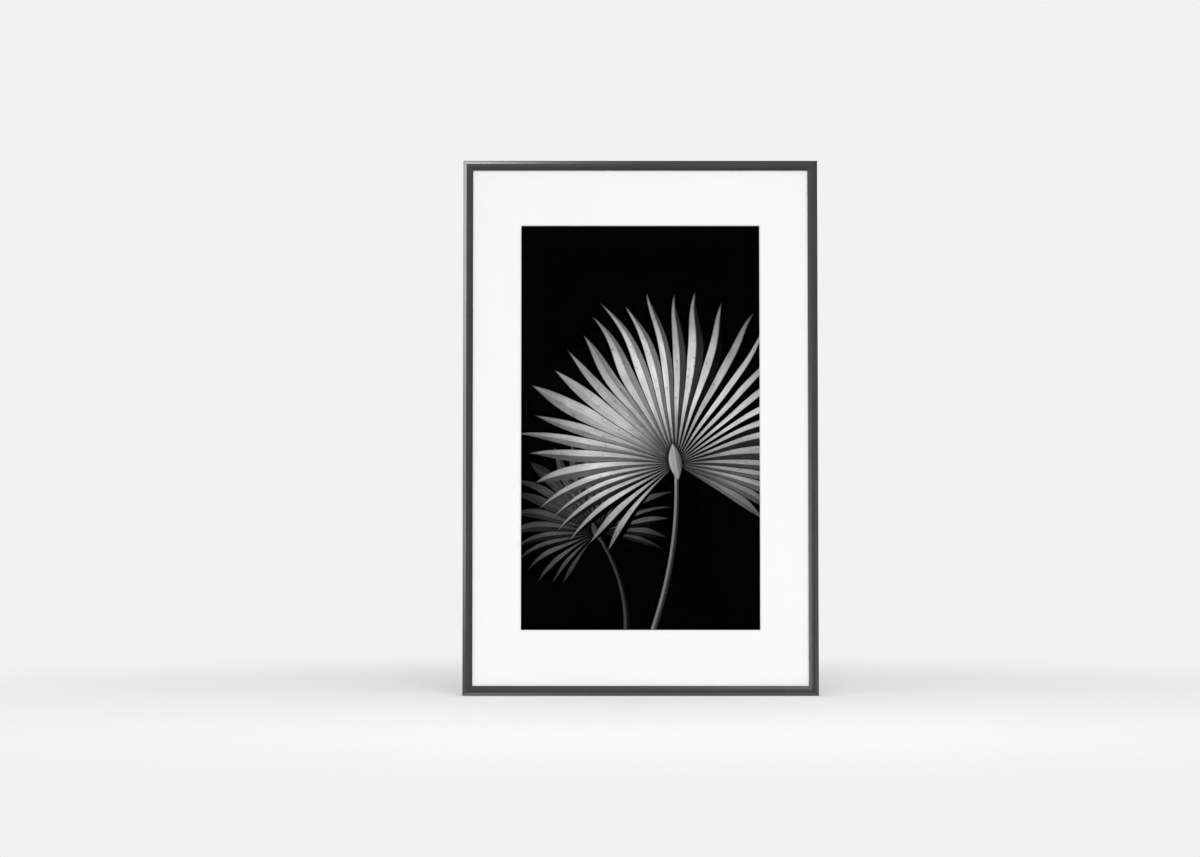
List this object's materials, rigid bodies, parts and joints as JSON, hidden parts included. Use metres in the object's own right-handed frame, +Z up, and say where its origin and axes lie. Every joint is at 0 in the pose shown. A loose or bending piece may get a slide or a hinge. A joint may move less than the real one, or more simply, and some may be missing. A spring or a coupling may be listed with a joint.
{
  "type": "framed print",
  "caption": "Tall framed print: slim dark aluminium frame with clear glazing, a wide white mat and a black and white leaf print, and a toothed hanger on the back.",
  "frame": {"origin": "middle of the frame's bounding box at its base, on the surface that the bottom rail stands on", "axes": "+Z up along the tall side, +Y towards the wall behind the frame, so the picture faces -Y"},
  "size_m": [0.504, 0.024, 0.76],
  "materials": {
    "rail_graphite": "satin graphite anodised, with faint lines along the rail",
    "glazing_clear": "clear and smooth, low reflection",
    "mat_white": "matt white board with a fine paper tooth, cut at 45 degrees round the window",
    "print_ink": "matt monochrome print on a near black ground",
    "backing_hardboard": "brown hardboard",
    "clip_spring_steel": "blued spring steel",
    "fixing_zinc": "bright zinc plate"
  },
  "bodies": {
    "root": {"rail_bottom": "rail_graphite", "rail_top": "rail_graphite", "rail_left": "rail_graphite", "rail_right": "rail_graphite", "glazing": "glazing_clear", "mat": "mat_white", "print": "print_ink", "backing": "backing_hardboard", "spring_clip_1": "clip_spring_steel", "spring_clip_2": "clip_spring_steel", "spring_clip_3": "clip_spring_steel", "spring_clip_4": "clip_spring_steel", "spring_clip_5": "clip_spring_steel", "spring_clip_6": "clip_spring_steel", "spring_clip_7": "clip_spring_steel", "spring_clip_8": "clip_spring_steel", "spring_clip_9": "clip_spring_steel", "spring_clip_10": "clip_spring_steel", "corner_plate_1": "fixing_zinc", "corner_plate_2": "fixing_zinc", "corner_plate_3": "fixing_zinc", "corner_plate_4": "fixing_zinc", "corner_screw_1": "fixing_zinc", "corner_screw_2": "fixing_zinc", "corner_screw_3": "fixing_zinc", "corner_screw_4": "fixing_zinc", "corner_screw_5": "fixing_zinc", "corner_screw_6": "fixing_zinc", "corner_screw_7": "fixing_zinc", "corner_screw_8": "fixing_zinc", "hanger": "fixing_zinc", "hanger_rivet_1": "fixing_zinc", "hanger_rivet_2": "fixing_zinc"}
  },
  "joints": []
}
